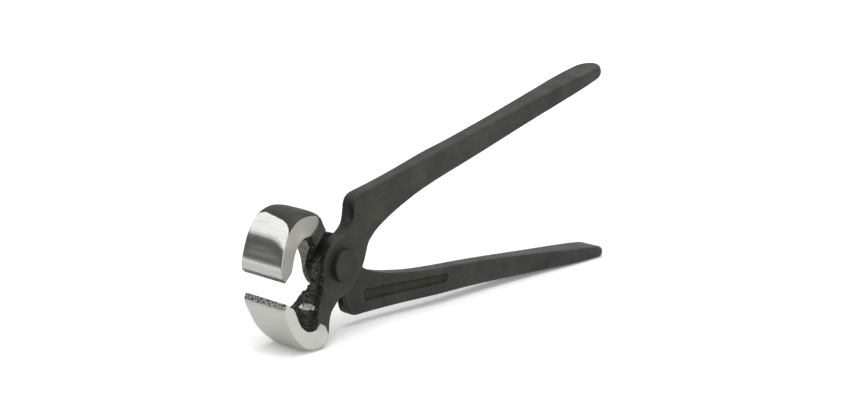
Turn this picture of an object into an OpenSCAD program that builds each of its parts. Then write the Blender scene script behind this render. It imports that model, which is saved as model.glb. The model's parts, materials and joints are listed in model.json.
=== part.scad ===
// End cutting pincers: two drop-forged levers that cross at one riveted lap joint.
// X runs along the tool with the jaws at -X, Y is the pivot axis with the rivet's
// head at -Y, and Z is up. The tool stands on its lower jaw and its lower handle.

/* [Jaws] */
// Length of the cutting edge, which is the full width of the jaw
edge_w = 22; // [14:0.5:34]
// Pivot axis to cutting edge
jaw_reach = 34.5; // [26:0.5:50]
// Height of the jaw's crown above the closing line
jaw_h = 23.1; // [18:0.1:32]
// How far the nose stands out in front of the cutting edge
nose_out = 1.6; // [0.6:0.1:2.4]
// Height of the coarse ground land behind the cutting edge
land_h = 1.9; // [1.2:0.1:2.6]
// Steel behind the nose
nose_wall = 5.1; // [4:0.1:6.5]
// Steel under the crown
crown_wall = 8.1; // [6.5:0.1:9.5]
// Steel in the root of the jaw
root_wall = 8; // [7:0.1:9.5]
// How far the middle of the crown stands out beyond its two ends
crown_bulge = 1.1; // [0:0.1:1.6]
// Rounding of the ground edges
jaw_edge_r = 0.5; // [0.2:0.1:1]

/* [Joint] */
// Thickness of each lever's half of the lap joint
plate_t = 6; // [4.5:0.1:8]
// Radius of the joint plate
plate_r = 10.7; // [9.5:0.1:12]
// Radius of the sloped shoulder around the other lever's plate, at the flank
shoulder_r = 16.8; // [15.5:0.1:19]
// Radius of the same shoulder at the joint face
shoulder_foot_r = 12.7; // [12:0.1:15]
// Steel left in the flank of the jaw at the shoulder
flank_t = 5.5; // [3:0.1:8]
// Play between the two joint faces
face_play = 0.06; // [0.02:0.01:0.2]
// Rounding of the joint plate's rim
rim_r = 1; // [0.4:0.1:1.6]

/* [Rivet] */
// Diameter of the rivet's shank
shank_d = 8; // [6:0.1:10]
// Radial clearance of the shank in its bores
shank_play = 0.05; // [0.02:0.01:0.1]
// Diameter of the flat factory head
head_d = 13; // [11:0.1:16]
// Thickness of the factory head
head_t = 2.6; // [1.6:0.1:3.6]
// Diameter of the peened tail
tail_d = 12; // [10:0.1:15]
// Thickness of the peened tail
tail_t = 1.6; // [1:0.1:2.4]
// Chamfer around the head and the tail
head_chamfer = 0.4; // [0.2:0.05:0.8]

/* [Handles] */
// Pivot axis to the end of the handle
handle_reach = 171; // [130:1:240]
// Drop of the inner edge at the end, below the closing line
handle_drop = 20.2; // [17:0.1:30]
// Drop of the inner edge where the handle leaves the joint
inner_drop = 9; // [8:0.1:11]
// Drop of the outer edge at the heel
heel_drop = 23.8; // [20:0.1:28]
// Pivot axis to the heel wall
heel_x = 9; // [8:0.1:11]
// Depth of the handle in its middle
grip_depth = 10; // [6:0.1:12]
// Depth of the handle at its end
end_depth = 4.6; // [2.5:0.1:6]
// Width of the handle near the joint
neck_w = 8; // [6:0.1:11]
// Width of the handle at its end
end_w = 14; // [10:0.1:18]
// Corner radius of the handle's end, seen from above
end_r = 6.1; // [2:0.1:7]
// Share of the handle's depth that its inner side loses round the tip
end_thin = 0.7; // [0:0.05:0.8]
// Rounding along the handle's edges
grip_edge_r = 1.6; // [1:0.1:3]

/* [Marking panel] */
// Start of the sunk panel, from the pivot axis
panel_x = 18; // [17.6:0.1:30]
// Length of the panel
panel_len = 45; // [20:1:60]
// Height of the panel next to the joint
panel_h = 5; // [2:0.1:6]
// Height of the panel at its far end
panel_end_h = 3.7; // [1.5:0.1:4]
// Depth of the panel
panel_sink = 0.6; // [0.3:0.1:1]

/* [Pose] */
// Angle between the levers as stored, zero with the cutting edges together
open_angle = 13.4; // [4:0.1:40]

/* [Hidden] */
overrun = 2 * plate_t;
facet = 96;
corner_steps = 3;
corner_turn = 90 / corner_steps;
station_steps = 2;
plain_share = 0.44;
joint_face = face_play / 2;
half_open = open_angle / 2;

function mix(a, b, t) = a + (b - a) * t;
function clampv(v, lo, hi) = max(lo, min(hi, v));
function smooth(t) = let (s = clampv(t, 0, 1)) s * s * (3 - 2 * s);
function polar(r, a) = [r * cos(a), r * sin(a)];
function table_at(rows, s, c) = lookup(s, [for (r = rows) [r[0], r[c]]]);

// One lever is drawn with its edge on the closing line, its jaw up and its plate
// on the +Y side of the joint face. The other is the same forging turned over.
// A station is a section of the bar: a point on the mouth side, a point on the
// back, the two side faces and the rounding of the corners.

// Jaw, from the land to the root. Columns: share of the reach and of the nose
// stand-out, share of the crown height and of the land's height.
jaw_back_shares = [
    [1, 0.9, 0, 1],
    [1, 1, 0, 2],
    [1, 0.87, 0.251, 0],
    [1, 0.56, 0.346, 0],
    [1, 0.19, 0.442, 0],
    [0.983, 0, 0.563, 0],
    [0.942, 0, 0.693, 0],
    [0.881, 0, 0.823, 0],
    [0.8, 0, 0.935, 0],
    [0.696, 0, 0.995, 0],
    [0.6, 0, 1, 0],
    [0.515, 0, 0.96, 0],
    [0.44, 0, 0.885, 0],
    [0.365, 0, 0.785, 0],
    [0.29, 0, 0.68, 0],
];
// Steel between back and mouth, as shares of the nose, crown and root walls
jaw_wall_shares = [
    [0, 0, 0],
    [0.75, 0, 0],
    [1, 0, 0],
    [1.02, 0, 0],
    [0.99, 0, 0],
    [0.98, 0, 0],
    [0.93, 0.07, 0],
    [0.73, 0.27, 0],
    [0.37, 0.63, 0],
    [0.13, 0.87, 0],
    [0, 1, 0],
    [0, 0.6, 0.4],
    [0, 0, 0.99],
    [0, 0, 0.97],
    [0, 0, 1.03],
];
// Side faces on the flank's side and then on the plate's side, each at the mouth
// and at the back: 1 is the end of the cutting edge, 0 the flank or the plate. The
// flank's side is ground at a slant, so it leans in towards the back.
jaw_side_shares = [
    [1, 1, 1, 1],
    [1, 0.95, 1, 1],
    [1, 0.88, 1, 1],
    [1, 0.84, 1, 1],
    [1, 0.81, 1, 1],
    [1, 0.78, 1, 1],
    [1, 0.7, 1, 1],
    [1, 0.67, 1, 1],
    [1, 0.72, 1, 1],
    [1, 0.82, 1, 1],
    [0.95, 0.93, 0.85, 1],
    [0.8, 0.9, 0.6, 0.9],
    [0.5, 0.65, 0.3, 0.65],
    [0.2, 0.35, 0.1, 0.3],
    [0, 0.1, 0, 0.08],
];
// Place across the back from the middle, and the share of the bulge there
bulge_rows = [[-0.8, 0.6], [-0.4, 1], [0.4, 1], [0.8, 0.6]];
// Share of the bulge at each station of the jaw
jaw_bulge_shares = [0, 0, 0, 0, 0.1, 0.3, 0.6, 0.9, 1, 1, 1, 1, 0.8, 0.5, 0.2];
// Direction from the back to the mouth side at each of these stations
jaw_aims = [0, -36, -30, -28, -28, -31, -40, -52, -66, -80, -93, -103, -110, -117, -121];

// Joint plate. Columns: mouth side as a share of the plate's radius, back
// likewise, then the two side faces as shares of the flank and of half the edge.
plate_shares = [
    [1.28, 1.43, 0.8, 0.03],
    [1.11, 1.2, 0.5, 0],
    [1.02, 1.056, 0.2, 0],
    [1, 1, 0.2, 0],
    [1, 1, 0.2, 0],
    [1, 1.02, 0.2, 0],
    [1, 1.11, 0.2, 0],
];
plate_turns = [[157, 116], [167, 107], [180, 93], [200, 74], [221, 53], [243, 31], [263, 12.5]];

// Hip between plate and handle. Columns: share of the heel's distance and of its
// drop below the plate, then shares of the plate's radius and the inner drop.
hip_shares = [
    [0.222, 0.016, 1.234, 0.033],
    [0.533, 0.1, 1.383, 0.333],
    [0.756, 0.228, 1.58, 0.52],
    [0.889, 0.4, 1.795, 0.675],
    [0.978, 0.59, 2.01, 0.785],
    [1.067, 0.78, 2.234, 0.875],
    [1.222, 0.92, 2.486, 0.955],
    [1.51, 0.99, 2.748, 1.025],
];
heel_end_share = 1.944;
neck_start_share = 3.01;
neck_drop_share = 1.083;
// Inner edge. Columns: share of its length and of its drop beyond the neck
inner_shares = [
    [0, 0],
    [0.07, 0.12],
    [0.125, 0.172],
    [0.18, 0.205],
    [0.235, 0.235],
    [0.35, 0.306],
    [0.465, 0.407],
    [0.59, 0.541],
    [0.71, 0.665],
    [0.83, 0.797],
    [0.91, 0.885],
    [1, 1],
];
// Handle. Columns: share of its length, then of the depths at heel, grip and end
depth_shares = [
    [0, 1, 0, 0],
    [0.04, 0.97, 0.03, 0],
    [0.098, 0.896, 0.104, 0],
    [0.175, 0.481, 0.519, 0],
    [0.267, 0.244, 0.756, 0],
    [0.364, 0.089, 0.911, 0],
    [0.427, 0.025, 0.975, 0],
    [0.516, 0, 0.907, 0.093],
    [0.687, 0, 0.657, 0.343],
    [0.863, 0, 0.37, 0.63],
    [0.96, 0, 0.11, 0.89],
    [1, 0, 0, 1],
];
// Columns: share of the length, then of the widths at the plate, neck and end
width_shares = [
    [0, 1, 0, 0],
    [0.13, 0.5, 0.5, 0],
    [0.27, 0, 1, 0],
    [0.42, 0, 1, 0],
    [0.546, 0, 0.9, 0.1],
    [0.677, 0, 0.68, 0.32],
    [0.808, 0, 0.33, 0.67],
    [0.936, 0, 0.03, 0.97],
    [1, 0, 0, 1],
];
grip_stop_shares = [0.04, 0.09, 0.15, 0.22, 0.3, 0.39, 0.48, 0.57, 0.66, 0.75, 0.83, 0.9];
end_turns = [0, 25, 45, 62, 78, 90];
straighten_share = 0.34;
centre_share = 0.27;

half_edge = edge_w / 2;
heel_end_x = heel_end_share * heel_x;
neck_start_x = neck_start_share * plate_r;
neck_start_z = neck_drop_share * inner_drop;
function inner_at(x) = mix(neck_start_z, handle_drop,
    table_at(inner_shares, (x - neck_start_x) / (handle_reach - neck_start_x), 1));
plate_near = plate_shares[len(plate_shares) - 1][2] * flank_t;
heel_depth = heel_drop - inner_at(heel_end_x);
function depth_at(s) = heel_depth * table_at(depth_shares, s, 1)
    + grip_depth * table_at(depth_shares, s, 2) + end_depth * table_at(depth_shares, s, 3);
function width_at(s) = plate_t * table_at(width_shares, s, 1)
    + neck_w * table_at(width_shares, s, 2) + end_w * table_at(width_shares, s, 3);
function centre_at(s) = plate_t / 2 * (1 - clampv(s / centre_share, 0, 1));
function along(x) = (x - heel_end_x) / (handle_reach - heel_end_x);
// Side faces of the handle at one place along it, pinched at the rounded end
end_turn_r = min(end_r, plain_share * end_w);
function near_at(x, pinch = 1) = centre_at(along(x)) - width_at(along(x)) / 2
    + end_turn_r * (1 - pinch) - plate_near * clampv(1 - x / heel_end_x, 0, 1);
function far_at(x, pinch = 1) = centre_at(along(x)) + width_at(along(x)) / 2
    - end_turn_r * (1 - pinch);

function jaw_station(i) = let (
    b = jaw_back_shares[i], w = jaw_wall_shares[i], y = jaw_side_shares[i],
    back = [-jaw_reach * b[0] - nose_out * b[1], jaw_h * b[2] + land_h * b[3]],
    wall = nose_wall * w[0] + crown_wall * w[1] + root_wall * w[2],
    mouth = i == 0 ? [-jaw_reach, 0] : back + polar(wall, jaw_aims[i])
) [
    mouth[0], mouth[1], back[0], back[1],
    -mix(flank_t, half_edge, y[0]), -mix(flank_t, half_edge, y[1]),
    mix(plate_t, half_edge, y[2]), mix(plate_t, half_edge, y[3]),
    jaw_edge_r, crown_bulge * jaw_bulge_shares[i]
];
function plate_station(i) = let (
    p = plate_shares[i],
    mouth = polar(plate_r * p[0], plate_turns[i][0]),
    back = polar(plate_r * p[1], plate_turns[i][1]),
    near = -flank_t * p[2],
    far = mix(plate_t, half_edge, p[3])
) [mouth[0], mouth[1], back[0], back[1], near, near, far, far, rim_r, 0];
function hip_station(i) = let (
    h = hip_shares[i],
    outer = [heel_x * h[0], -plate_r - (heel_drop - plate_r) * h[1]],
    inner = [plate_r * h[2], -inner_drop * h[3]]
) [
    outer[0], outer[1], inner[0], inner[1], near_at(outer[0]), near_at(inner[0]),
    far_at(outer[0]), far_at(inner[0]), rim_r, 0
];
function grip_station(s, pinch) = let (
    bx = mix(neck_start_x, handle_reach, s),
    ax = bx - (neck_start_x - heel_end_x) * (1 - smooth(s / straighten_share)),
    soft = smooth(along(ax) / grip_stop_shares[2]),
    a = [ax, -inner_at(ax) - depth_at(along(ax))],
    b = [bx, -inner_at(bx)],
    lost = (b - a) * end_thin * (1 - pinch)
) concat(a, b - lost, [
    near_at(ax, pinch), near_at(bx, pinch), far_at(ax, pinch), far_at(bx, pinch),
    mix(rim_r, grip_edge_r, soft), 0
]);
function end_station(t) =
    grip_station(1 - end_turn_r * (1 - sin(t)) / (handle_reach - neck_start_x), cos(t));

coarse = concat(
    [for (i = [0:len(jaw_back_shares) - 1]) jaw_station(i)],
    [for (i = [0:len(plate_shares) - 1]) plate_station(i)],
    [for (i = [0:len(hip_shares) - 1]) hip_station(i)],
    [grip_station(0, 1)],
    [for (s = grip_stop_shares) grip_station(s, 1)]
);
function between(rows, i, t) = let (
    n = len(rows) - 1, a = rows[max(i - 1, 0)], b = rows[i], c = rows[i + 1],
    d = rows[min(i + 2, n)]
) 0.5 * (2 * b + (c - a) * t + (2 * a - 5 * b + 4 * c - d) * t * t
    + (3 * b - a - 3 * c + d) * t * t * t);
stations = concat(
    [for (i = [0:len(coarse) - 2], k = [0:station_steps - 1]) between(coarse, i, k / station_steps)],
    [coarse[len(coarse) - 1]],
    [for (t = end_turns) end_station(t)]
);

// Points of one section: a rounded four-sided shape between its two points, with
// a back that may stand out in the middle
function section(st) = let (
    a = [st[0], st[1]], b = [st[2], st[3]], run = norm(b - a), u = (b - a) / run,
    y = [for (k = [4:7]) clampv(st[k], -half_edge, half_edge)],
    r = min(st[8], plain_share * run, plain_share * min(y[2] - y[0], y[3] - y[1])),
    near = [[r, y[0] + r, 180], [run - r, y[1] + r, 270]],
    far = [[run - r, y[3] - r, 0], [r, y[2] - r, 90]],
    back = [for (t = bulge_rows) [run + st[9] * t[1], mix(y[1] + r, y[3] - r, (1 + t[0]) / 2)]]
) [
    for (q = concat(rounded(near, r), back, rounded(far, r)))
        [a[0] + u[0] * q[0], q[1], a[1] + u[1] * q[0]]
];
function rounded(corners, r) = [
    for (c = corners, k = [0:corner_steps]) [c[0], c[1]] + polar(r, c[2] + k * corner_turn)
];
module bar(rows) {
    rings = [for (st = rows) section(st)];
    m = len(rings[0]);
    n = len(rings);
    sides = [
        for (i = [0:n - 2], j = [0:m - 1])
            let (p = i * m + j, q = i * m + (j + 1) % m) each [[p, q, q + m], [p, q + m, p + m]]
    ];
    caps = [[for (j = [m - 1:-1:0]) j], [for (j = [0:m - 1]) (n - 1) * m + j]];
    polyhedron(points = [for (r = rings) each r], faces = concat(sides, caps), convexity = 8);
}

shoulder_lean_shares = [0.056, 0.112, 0];
panel_drop_share = 0.69;
panel_drop = panel_drop_share * heel_drop;
side_slant = atan2(neck_w / 2, centre_share * (handle_reach - heel_end_x));
head_top = plate_t + head_t;
tail_top = plate_t + tail_t;

// The tool stands on the front lever's jaw and the rear lever's handle. The floor
// is the line that touches both from below.
function turn(p, a) = [p[0] * cos(a) + p[1] * sin(a), p[1] * cos(a) - p[0] * sin(a)];
function mouth_of(s) = [s[0], s[1]];
function back_of(s) = let (v = [s[2] - s[0], s[3] - s[1]]) mouth_of(s) + v * (1 + s[9] / norm(v));
function over(p) = [p[0], -p[1]];
jaw_low = [for (s = stations) let (p = turn(over(back_of(s)), -half_open)) if (p[0] < 0) p];
grip_low = [for (s = stations) let (p = turn(mouth_of(s), half_open)) if (p[0] > shoulder_r) p];
floor_tilt = -max([
    for (p = jaw_low) min([for (q = grip_low) atan2(q[1] - p[1], q[0] - p[0])])
]);
outline = [
    for (s = stations) each [
        turn(mouth_of(s), half_open - floor_tilt),
        turn(back_of(s), half_open - floor_tilt),
        turn(over(mouth_of(s)), -half_open - floor_tilt),
        turn(over(back_of(s)), -half_open - floor_tilt),
    ]
];
reach_x = [for (p = outline) p[0]];
seat = [-(min(reach_x) + max(reach_x)) / 2, 0, -min([for (p = outline) p[1]])];

module across(d, h) {
    rotate([90, 0, 0]) cylinder(d = d, h = h, center = true, $fn = facet);
}
// Milled joint face with its sloped round shoulder, flat as far as the heel. The
// slope leans towards the back of the jaw, which clears the other lever's heel.
module joint_recess() {
    translate([0, joint_face, 0]) rotate([90, 0, 0]) {
        translate(plate_r * shoulder_lean_shares)
            cylinder(r1 = shoulder_foot_r, r2 = shoulder_r, h = flank_t, $fn = facet);
        translate([0, 0, flank_t - face_play]) cylinder(r = shoulder_r, h = edge_w, $fn = facet);
    }
    translate([0, joint_face - edge_w, -heel_drop - overrun])
        cube([heel_end_x, edge_w, heel_drop + overrun + shank_d / 2]);
}
// Sunk panel that follows the slant of the handle's inner side face
module panel() {
    translate([panel_x, panel_sink - (panel_x - heel_end_x) * tan(side_slant), -panel_drop])
        rotate([0, 0, -side_slant]) rotate([90, 0, 0]) linear_extrude(overrun)
            polygon([
                [0, -panel_h / 2],
                [panel_len, -panel_end_h / 2],
                [panel_len, panel_end_h / 2],
                [0, panel_h / 2],
            ]);
}
module lever() {
    difference() {
        bar(stations);
        joint_recess();
        across(shank_d + 2 * shank_play, 2 * (plate_t + overrun));
        panel();
    }
}
module placed(a) {
    translate(seat) rotate([0, a - floor_tilt, 0]) children();
}
module front_lever() {
    color("#3e3e3b") placed(-half_open) rotate([180, 0, 0]) lever();
}
module rear_lever() {
    color("#3e3e3b") placed(half_open) lever();
}
module pivot_rivet() {
    color("#43433f") placed(-half_open) rotate([90, 0, 0]) rotate_extrude($fn = facet)
        polygon([
            [0, -tail_top],
            [tail_d / 2 - head_chamfer, -tail_top],
            [tail_d / 2, head_chamfer - tail_top],
            [tail_d / 2, -plate_t],
            [shank_d / 2, -plate_t],
            [shank_d / 2, plate_t],
            [head_d / 2, plate_t],
            [head_d / 2, head_top - head_chamfer],
            [head_d / 2 - head_chamfer, head_top],
            [0, head_top],
        ]);
}

front_lever();
rear_lever();
pivot_rivet();
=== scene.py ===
"""Looks of a pair of end cutting pincers: two forged levers and the rivet they turn on.

Each lever is one bar of rounded four-sided sections, carried from the cutting edge
round the jaw, over the joint plate and down the handle. The shape tables hold shares
of the driving sizes. Everything is in metres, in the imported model's own frame.
"""

import json
import math

import bmesh
import bpy
import numpy as np
from bpy.props import FloatProperty, FloatVectorProperty, PointerProperty
from mathutils import Matrix, Vector


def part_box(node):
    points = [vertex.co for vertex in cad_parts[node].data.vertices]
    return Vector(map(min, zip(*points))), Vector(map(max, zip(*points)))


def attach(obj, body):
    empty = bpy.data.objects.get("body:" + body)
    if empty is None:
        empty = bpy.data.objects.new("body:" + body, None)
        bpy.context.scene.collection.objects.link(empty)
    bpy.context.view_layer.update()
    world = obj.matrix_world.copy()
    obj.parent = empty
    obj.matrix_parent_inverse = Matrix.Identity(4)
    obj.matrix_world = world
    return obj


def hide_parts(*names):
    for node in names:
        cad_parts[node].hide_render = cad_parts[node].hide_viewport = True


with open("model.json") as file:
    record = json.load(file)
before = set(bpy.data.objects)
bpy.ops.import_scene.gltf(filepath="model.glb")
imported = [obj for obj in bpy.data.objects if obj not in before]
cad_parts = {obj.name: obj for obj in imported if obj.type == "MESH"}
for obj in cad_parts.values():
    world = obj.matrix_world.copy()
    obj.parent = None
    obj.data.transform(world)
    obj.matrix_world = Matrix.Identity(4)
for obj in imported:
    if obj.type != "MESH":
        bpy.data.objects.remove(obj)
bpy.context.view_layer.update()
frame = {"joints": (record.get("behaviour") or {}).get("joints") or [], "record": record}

bl_info = {
    "name": "End cutting pincers",
    "version": (1, 0, 0),
    "blender": (4, 5, 0),
    "location": "View3D > Sidebar > Pincers",
    "description": "Builds the forged levers, the rivet, their finishes and a plain stage",
    "category": "Object",
}

PIVOT = np.array(frame["joints"][0]["pos_m"])
EDGE_AXIS = next(m["axis"] for m in frame["record"]["mounts"] if m["name"] == "cutting_edges")
FLOOR_TILT = math.atan2(-EDGE_AXIS[2], -EDGE_AXIS[0])

# ---- shape tables

# Back of the jaw: shares of the reach, of the nose, of the crown's height, of the land
JAW_BACK = [
    (1, 0.9, 0, 1), (1, 1, 0, 2), (1, 0.87, 0.251, 0), (1, 0.56, 0.346, 0),
    (1, 0.19, 0.442, 0), (0.983, 0, 0.563, 0), (0.942, 0, 0.693, 0), (0.881, 0, 0.823, 0),
    (0.8, 0, 0.935, 0), (0.696, 0, 0.995, 0), (0.6, 0, 1, 0), (0.515, 0, 0.96, 0),
    (0.44, 0, 0.885, 0), (0.365, 0, 0.785, 0), (0.29, 0, 0.68, 0),
]
# Steel between back and mouth: shares of the nose, crown and root walls
JAW_WALL = [
    (0, 0, 0), (0.75, 0, 0), (1, 0, 0), (1.02, 0, 0), (0.99, 0, 0), (0.98, 0, 0),
    (0.93, 0.07, 0), (0.73, 0.27, 0), (0.37, 0.63, 0), (0.13, 0.87, 0), (0, 1, 0),
    (0, 0.6, 0.4), (0, 0, 0.99), (0, 0, 0.97), (0, 0, 1.03),
]
# Degrees from the back towards the mouth
JAW_AIM = [0, -36, -30, -28, -28, -31, -40, -52, -66, -80, -93, -103, -110, -117, -121]
# Side faces: the flank's side at mouth and back, the plate's side at mouth and back
JAW_SIDE = [
    (1, 1, 1, 1), (1, 0.95, 1, 1), (1, 0.88, 1, 1), (1, 0.84, 1, 1), (1, 0.81, 1, 1),
    (1, 0.78, 1, 1), (1, 0.7, 1, 1), (1, 0.67, 1, 1), (1, 0.72, 1, 1), (1, 0.82, 1, 1),
    (0.95, 0.93, 0.85, 1), (0.8, 0.9, 0.6, 0.9), (0.5, 0.65, 0.3, 0.65),
    (0.2, 0.35, 0.1, 0.3), (0, 0.1, 0, 0.08),
]
JAW_BULGE = [0, 0, 0, 0, 0.1, 0.3, 0.6, 0.9, 1, 1, 1, 1, 0.8, 0.5, 0.2]
# Plate: mouth and back as shares of its radius, then flank and edge shares of the sides
PLATE = [
    (1.28, 1.43, 0.8, 0.03), (1.11, 1.2, 0.5, 0), (1.02, 1.056, 0.2, 0), (1, 1, 0.2, 0),
    (1, 1, 0.2, 0), (1, 1.02, 0.2, 0), (1, 1.11, 0.2, 0),
]
PLATE_TURN = [(157, 116), (167, 107), (180, 93), (200, 74), (221, 53), (243, 31), (263, 12.5)]
# Hip: shares of the heel's distance and drop, of the plate's radius and the inner drop
HIP = [
    (0.222, 0.016, 1.234, 0.033), (0.533, 0.1, 1.383, 0.333), (0.756, 0.228, 1.58, 0.52),
    (0.889, 0.4, 1.795, 0.675), (0.978, 0.59, 2.01, 0.785), (1.067, 0.78, 2.234, 0.875),
    (1.222, 0.92, 2.486, 0.955), (1.51, 0.99, 2.748, 1.025),
]
# Handle: share of its length, then of the drop, of the depths and of the widths
INNER = [
    (0, 0), (0.07, 0.12), (0.125, 0.172), (0.18, 0.205), (0.235, 0.235), (0.35, 0.306),
    (0.465, 0.407), (0.59, 0.541), (0.71, 0.665), (0.83, 0.797), (0.91, 0.885), (1, 1),
]
DEPTH = [
    (0, 1, 0, 0), (0.04, 0.97, 0.03, 0), (0.098, 0.896, 0.104, 0), (0.175, 0.481, 0.519, 0),
    (0.267, 0.244, 0.756, 0), (0.364, 0.089, 0.911, 0), (0.427, 0.025, 0.975, 0),
    (0.516, 0, 0.907, 0.093),
    (0.687, 0, 0.657, 0.343), (0.863, 0, 0.37, 0.63), (0.96, 0, 0.11, 0.89), (1, 0, 0, 1),
]
WIDTH = [
    (0, 1, 0, 0), (0.13, 0.5, 0.5, 0), (0.27, 0, 1, 0), (0.42, 0, 1, 0), (0.546, 0, 0.9, 0.1),
    (0.677, 0, 0.68, 0.32), (0.808, 0, 0.33, 0.67), (0.936, 0, 0.03, 0.97), (1, 0, 0, 1),
]
GRIP_STOPS = [0, 0.04, 0.09, 0.15, 0.22, 0.3, 0.39, 0.48, 0.57, 0.66, 0.75, 0.83, 0.9]
# Shares of the heel's distance, the plate's radius and the inner drop
HEEL_END_SHARE, NECK_START_SHARE, NECK_DROP_SHARE = 1.944, 3.01, 1.083
# Shares of the handle's length at which its slant, its lean and its rounding settle, at
# which the tip starts, and the share of the slant that is curved
SLANT_END, STRAIGHTEN_SHARE, SOFTEN_SHARE, TIP_SHARE, SLANT_SOFT = 0.27, 0.34, 0.09, 0.86, 0.3
# Largest rounding of a ring, near side of the plate, drop of the panel, lean of the shoulder
PLAIN_SHARE, PLATE_NEAR_SHARE, PANEL_DROP_SHARE = 0.44, 0.2, 0.69
SHOULDER_LEAN_SHARES, FAR_BELOW = (0.056, -0.112), -1.0

# Stations: where the jaw, the plate, the hip and the grip start along the bar
PLATE_START = len(JAW_BACK)
HIP_START = PLATE_START + len(PLATE)
GRIP_START = HIP_START + len(HIP)
GRIP_END = GRIP_START + len(GRIP_STOPS) - 1
PANEL_STATIONS = 6
STOPS = (0, PLATE_START, HIP_START, GRIP_START, GRIP_START + PANEL_STATIONS, GRIP_END)
# Rings to each station between the stops, rings round the end, points along each part
# of a ring, and the numbers of its four straight parts
RINGS, END_RINGS = (14, 14, 9, 16, 9), 14
CORNER_POINTS, SIDE_POINTS, BACK_POINTS = 5, 46, 30
NEAR, BACK, FAR, MOUTH, PARTS = 1, 3, 5, 7, 8
CAP_SHRINK, CAP_LEAN = (0.94, 0.8, 0.5, 0.2, 0), 0.9
MERGE, SHARP = 2e-6, math.radians(38)

# Bare ground steel of each face, as (place across, last station) pairs. Each lever
# shows one side of its jaw, so each has been ground by hand a little differently.
GROUND = {
    "rear": {
        BACK: [(0, 5.2), (0.05, 5.3), (0.08, 6.2), (0.12, 6.85), (0.2, 7.25), (0.33, 7.5),
               (0.57, 7.7), (0.8, 7.9), (0.92, 7.8), (1, 7.4)],
        NEAR: [(0, 8.6), (0.2, 9.93), (0.4, 10.77), (0.65, 11.15), (0.85, 10.9), (1, 10.4)],
        FAR: [(0, 9.8), (0.25, 11.2), (0.6, 11.8), (1, 11.4)],
        MOUTH: [(0, 0.8)],
    },
    "front": {
        BACK: [(0, 9.2), (0.5, 9.6), (1, 9.6)],
        NEAR: [(0, 9.8), (0.25, 10.9), (0.6, 11.3), (1, 11)],
        FAR: [(0, 9.8), (0.23, 11.45), (0.6, 12), (0.75, 11.9), (1, 11.5)],
        MOUTH: [(0, 0.8)],
    },
}
# Scaled inside of the jaws, and where across it the bare spot starts and ends: rubbed steel on
# the rear lever, a painted highlight of a facet on the front one
SCALED = [(0, 18), (0.5, 19.2), (1, 19.2)]
RUBBED = {
    "rear": [(12.6, 1.1, 2), (12.95, 0.37, 2), (13.95, 0.33, 2), (14.7, 0.46, 2),
             (15.4, 0.58, 2), (16.5, 0.64, 2), (17.4, 0.76, 2), (18.4, 1.1, 2)],
    "front": [(12.3, 0.5, 0.4), (12.5, 0.3, 0.62), (12.9, 0.26, 0.76), (13.2, 0.34, 0.8),
              (13.5, 0.8, 0.5)],
}
# Painted shade over the scale: where across it the scale still shows its glints and
# where it is black, and the station up to which its floor is dark from side to side
BLACKEST = {"rear": (0.72, 0.55), "front": (0.56, 0.76)}
BLACK_FLOOR, FLOOR_BLACK = 12.4, 0.7
# Length of a station in the fields, steepness of the bare spot's edge and how flat it is
STATION_LENGTH, RUBBED_WIDTH, RUBBED_FLAT = 2.6, 12.0, 0.7
# The joint's room: first station, steepness of its wall, run-out ramp, fade of its rim
JAW_TOP, WALL_STEEP, RUN_OUT, RIM_FADE = 8, 6.0, 0.13, 0.4
# Sunk panel: steepness of its walls, corner in depths, and the share of painted shade on its
# floor, which is full at the foot of its walls
PANEL_STEEP, PANEL_CORNER, PANEL_FLOOR_SHADE = 3.0, 2.4, 0.5
# Forging lumps: first and last station and how they fade there and at the sides
ROUGH_START, ROUGH_START_FADE, ROUGH_END, ROUGH_END_FADE = 6.0, 0.8, 18.5, 1.5
ROUGH_SIDE, LUMP_PITCH, LUMP_SHARE, LUMP_FOLD = 0.12, 0.0052, 0.5, 4
# Seeds of the waves, and what turns and shifts them by their seed
LUMP_SEEDS = np.array([0.4, 1.3, 2.1, 3.2, 4.6, 5.5])[:, None, None]
SEED_Y, SEED_Z, SEED_SHIFT, SEED_PHASE = 1.7, 2.3, 1, 5
# Dent in the heel wall: its station, half length, place across, half width, steepness
DENT_AT, DENT_LENGTH, DENT_ACROSS, DENT_WIDTH, DENT_STEEP = 25.7, 1.5, 0.72, 0.34, 1.3
# Ribs beside it: first and last station with their fades, height in dents, start across
RIB_START, RIB_START_FADE, RIB_END, RIB_END_FADE = 22.9, 0.2, 24.5, 0.3
RIB_SHARE, RIB_ACROSS, RIB_TURN = 0.07, 0.2, 5 * math.pi
BAR_MAP, MAP_LENGTH = "bar", 0.3
RIVET_SIDES, ROUND_POINTS, FLAT_POINTS = 160, 7, 14
HEAD_ROUND, DISH_SHARE, DOME_SHARE = 1.2, 0.25, 0.2


# ---- helpers


def seen(red, green, blue):
    """Linear colour of a tone given as it is seen, in parts of 255."""
    tone = np.array([red, green, blue]) / 255
    return tuple(np.where(tone > 0.04045, ((tone + 0.055) / 1.055) ** 2.4, tone / 12.92))


def mix(a, b, t):
    return a + (b - a) * t


def smooth(t):
    t = np.clip(t, 0, 1)
    return t * t * (3 - 2 * t)


def turned(points, angle):
    """Points turned about the Y axis, the way the joint turns."""
    x, y, z = points[..., 0], points[..., 1], points[..., 2]
    c, s = math.cos(angle), math.sin(angle)
    return np.stack([x * c + z * s, y, z * c - x * s], -1)


def added(name, data):
    """A new object of the scene."""
    thing = bpy.data.objects.new(name, data)
    bpy.context.scene.collection.objects.link(thing)
    return thing


def length(name, value, top):
    return FloatProperty(name=name, default=value, min=0, max=top, unit="LENGTH", precision=4)


def finish_colour(name, red, green, blue):
    tone = seen(red, green, blue)
    return FloatVectorProperty(name=name, default=tone, subtype="COLOR", size=3, min=0, max=1)


# ---- sizes and colours


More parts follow.
